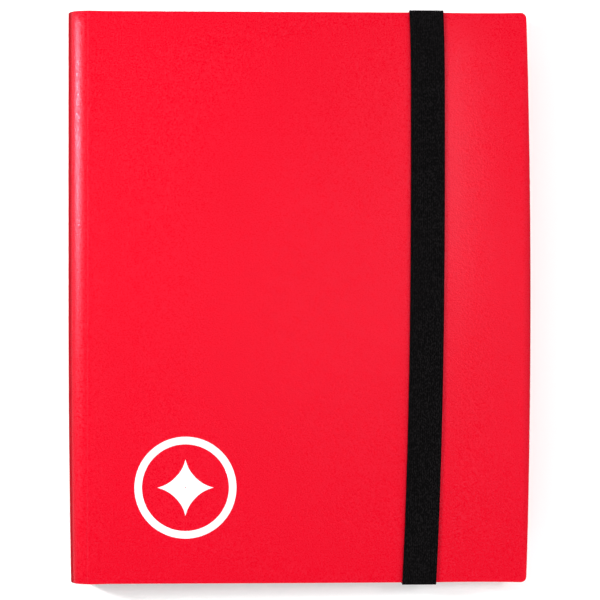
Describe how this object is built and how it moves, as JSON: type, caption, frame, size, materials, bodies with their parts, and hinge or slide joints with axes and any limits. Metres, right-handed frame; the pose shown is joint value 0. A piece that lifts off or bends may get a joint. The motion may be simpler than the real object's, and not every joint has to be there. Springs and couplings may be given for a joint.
{
  "type": "trading card binder",
  "caption": "Side-loading nine-pocket card binder with a creased plastic cover, a round spine, welded-in pages and an elastic closing strap.",
  "frame": {"origin": "centre of the bounding box's base, with the closed binder lying on its back cover", "axes": "+X from the spine to the fore edge, +Y to the head of the binder, +Z out of the front cover"},
  "size_m": [0.2584, 0.3206, 0.024],
  "materials": {
    "cover": "satin",
    "page_sheet": "gloss",
    "elastic": "matte",
    "rivet": "satin",
    "pocket_film": "gloss",
    "print": "satin"
  },
  "bodies": {
    "back_cover": {"back_cover": "cover", "strap_tail_top": "elastic", "strap_tail_bottom": "elastic", "strap_rivet_top": "rivet", "strap_rivet_bottom": "rivet", "rivet_cap_top": "rivet", "rivet_cap_bottom": "rivet"},
    "spine": {"spine": "cover", "spine_liner": "page_sheet", "page_binding": "page_sheet"},
    "front_cover": {"front_cover": "cover"},
    "page_01": {"page_01": "page_sheet"},
    "page_02": {"page_02": "page_sheet"},
    "page_03": {"page_03": "page_sheet"},
    "page_04": {"page_04": "page_sheet"},
    "page_05": {"page_05": "page_sheet"},
    "page_06": {"page_06": "page_sheet"},
    "page_07": {"page_07": "page_sheet"},
    "page_08": {"page_08": "page_sheet"},
    "page_09": {"page_09": "page_sheet"},
    "page_10": {"page_10": "page_sheet"},
    "page_11": {"page_11": "page_sheet"},
    "page_12": {"page_12": "page_sheet"},
    "page_13": {"page_13": "page_sheet"},
    "page_14": {"page_14": "page_sheet"},
    "page_15": {"page_15": "page_sheet"},
    "page_16": {"page_16": "page_sheet"},
    "page_17": {"page_17": "page_sheet"},
    "page_18": {"page_18": "page_sheet"},
    "page_19": {"page_19": "page_sheet"},
    "page_20": {"page_20": "page_sheet"},
    "strap": {"strap_band": "elastic"}
  },
  "joints": [
    {"name": "spine_hinge", "type": "hinge", "parent": "back_cover", "child": "spine", "pos_m": [-0.1172, 0, 0.0005], "axis": [0, -1, 0], "range_deg": [0, 90]},
    {"name": "front_cover_hinge", "type": "hinge", "parent": "spine", "child": "front_cover", "pos_m": [-0.1172, 0, 0.0235], "axis": [0, -1, 0], "range_deg": [0, 91.6]},
    {"name": "page_01_fold", "type": "hinge", "parent": "spine", "child": "page_01", "pos_m": [-0.11507, 0, 0.00202], "axis": [0, -1, 0], "range_deg": [-88.4, 0]},
    {"name": "page_02_fold", "type": "hinge", "parent": "spine", "child": "page_02", "pos_m": [-0.11403, 0, 0.00308], "axis": [0, -1, 0], "range_deg": [-88.13, 0]},
    {"name": "page_03_fold", "type": "hinge", "parent": "spine", "child": "page_03", "pos_m": [-0.11298, 0, 0.00413], "axis": [0, -1, 0], "range_deg": [-87.59, 0]},
    {"name": "page_04_fold", "type": "hinge", "parent": "spine", "child": "page_04", "pos_m": [-0.11192, 0, 0.00517], "axis": [0, -1, 0], "range_deg": [-86.85, 0]},
    {"name": "page_05_fold", "type": "hinge", "parent": "spine", "child": "page_05", "pos_m": [-0.11088, 0, 0.00622], "axis": [0, -1, 0], "range_deg": [-85.94, 0]},
    {"name": "page_06_fold", "type": "hinge", "parent": "spine", "child": "page_06", "pos_m": [-0.10983, 0, 0.00728], "axis": [0, -1, 0], "range_deg": [-84.89, 0]},
    {"name": "page_07_fold", "type": "hinge", "parent": "spine", "child": "page_07", "pos_m": [-0.10877, 0, 0.00833], "axis": [0, -1, 0], "range_deg": [-83.69, 0]},
    {"name": "page_08_fold", "type": "hinge", "parent": "spine", "child": "page_08", "pos_m": [-0.10773, 0, 0.00937], "axis": [0, -1, 0], "range_deg": [-82.38, 0]},
    {"name": "page_09_fold", "type": "hinge", "parent": "spine", "child": "page_09", "pos_m": [-0.10668, 0, 0.01043], "axis": [0, -1, 0], "range_deg": [-80.95, 0]},
    {"name": "page_10_fold", "type": "hinge", "parent": "spine", "child": "page_10", "pos_m": [-0.10562, 0, 0.01148], "axis": [0, -1, 0], "range_deg": [-79.4, 0]},
    {"name": "page_11_fold", "type": "hinge", "parent": "spine", "child": "page_11", "pos_m": [-0.10562, 0, 0.01252], "axis": [0, -1, 0], "range_deg": [0, 80.81]},
    {"name": "page_12_fold", "type": "hinge", "parent": "spine", "child": "page_12", "pos_m": [-0.10668, 0, 0.01358], "axis": [0, -1, 0], "range_deg": [0, 82.38]},
    {"name": "page_13_fold", "type": "hinge", "parent": "spine", "child": "page_13", "pos_m": [-0.10773, 0, 0.01463], "axis": [0, -1, 0], "range_deg": [0, 83.84]},
    {"name": "page_14_fold", "type": "hinge", "parent": "spine", "child": "page_14", "pos_m": [-0.10877, 0, 0.01568], "axis": [0, -1, 0], "range_deg": [0, 85.18]},
    {"name": "page_15_fold", "type": "hinge", "parent": "spine", "child": "page_15", "pos_m": [-0.10983, 0, 0.01673], "axis": [0, -1, 0], "range_deg": [0, 86.4]},
    {"name": "page_16_fold", "type": "hinge", "parent": "spine", "child": "page_16", "pos_m": [-0.11088, 0, 0.01777], "axis": [0, -1, 0], "range_deg": [0, 87.47]},
    {"name": "page_17_fold", "type": "hinge", "parent": "spine", "child": "page_17", "pos_m": [-0.11192, 0, 0.01883], "axis": [0, -1, 0], "range_deg": [0, 88.39]},
    {"name": "page_18_fold", "type": "hinge", "parent": "spine", "child": "page_18", "pos_m": [-0.11298, 0, 0.01988], "axis": [0, -1, 0], "range_deg": [0, 89.14]},
    {"name": "page_19_fold", "type": "hinge", "parent": "spine", "child": "page_19", "pos_m": [-0.11403, 0, 0.02092], "axis": [0, -1, 0], "range_deg": [0, 89.69]},
    {"name": "page_20_fold", "type": "hinge", "parent": "spine", "child": "page_20", "pos_m": [-0.11507, 0, 0.02198], "axis": [0, -1, 0], "range_deg": [0, 89.97]},
    {"name": "strap_release", "type": "slide", "parent": "back_cover", "child": "strap", "axis": [0.9798, 0, 0.2], "range_m": [0, 0.072], "stiffness_N_per_m": 150, "deforming": ["strap_band"]}
  ],
  "couplings": [
    {"joint": "page_01_fold", "follows": "spine_hinge", "ratio": -0.98},
    {"joint": "page_02_fold", "follows": "spine_hinge", "ratio": -0.977},
    {"joint": "page_03_fold", "follows": "spine_hinge", "ratio": -0.971},
    {"joint": "page_04_fold", "follows": "spine_hinge", "ratio": -0.9628},
    {"joint": "page_05_fold", "follows": "spine_hinge", "ratio": -0.9527},
    {"joint": "page_06_fold", "follows": "spine_hinge", "ratio": -0.941},
    {"joint": "page_07_fold", "follows": "spine_hinge", "ratio": -0.9277},
    {"joint": "page_08_fold", "follows": "spine_hinge", "ratio": -0.9131},
    {"joint": "page_09_fold", "follows": "spine_hinge", "ratio": -0.8972},
    {"joint": "page_10_fold", "follows": "spine_hinge", "ratio": -0.88},
    {"joint": "page_11_fold", "follows": "front_cover_hinge", "ratio": 0.88},
    {"joint": "page_12_fold", "follows": "front_cover_hinge", "ratio": 0.8972},
    {"joint": "page_13_fold", "follows": "front_cover_hinge", "ratio": 0.9131},
    {"joint": "page_14_fold", "follows": "front_cover_hinge", "ratio": 0.9277},
    {"joint": "page_15_fold", "follows": "front_cover_hinge", "ratio": 0.941},
    {"joint": "page_16_fold", "follows": "front_cover_hinge", "ratio": 0.9527},
    {"joint": "page_17_fold", "follows": "front_cover_hinge", "ratio": 0.9628},
    {"joint": "page_18_fold", "follows": "front_cover_hinge", "ratio": 0.971},
    {"joint": "page_19_fold", "follows": "front_cover_hinge", "ratio": 0.977},
    {"joint": "page_20_fold", "follows": "front_cover_hinge", "ratio": 0.98}
  ]
}
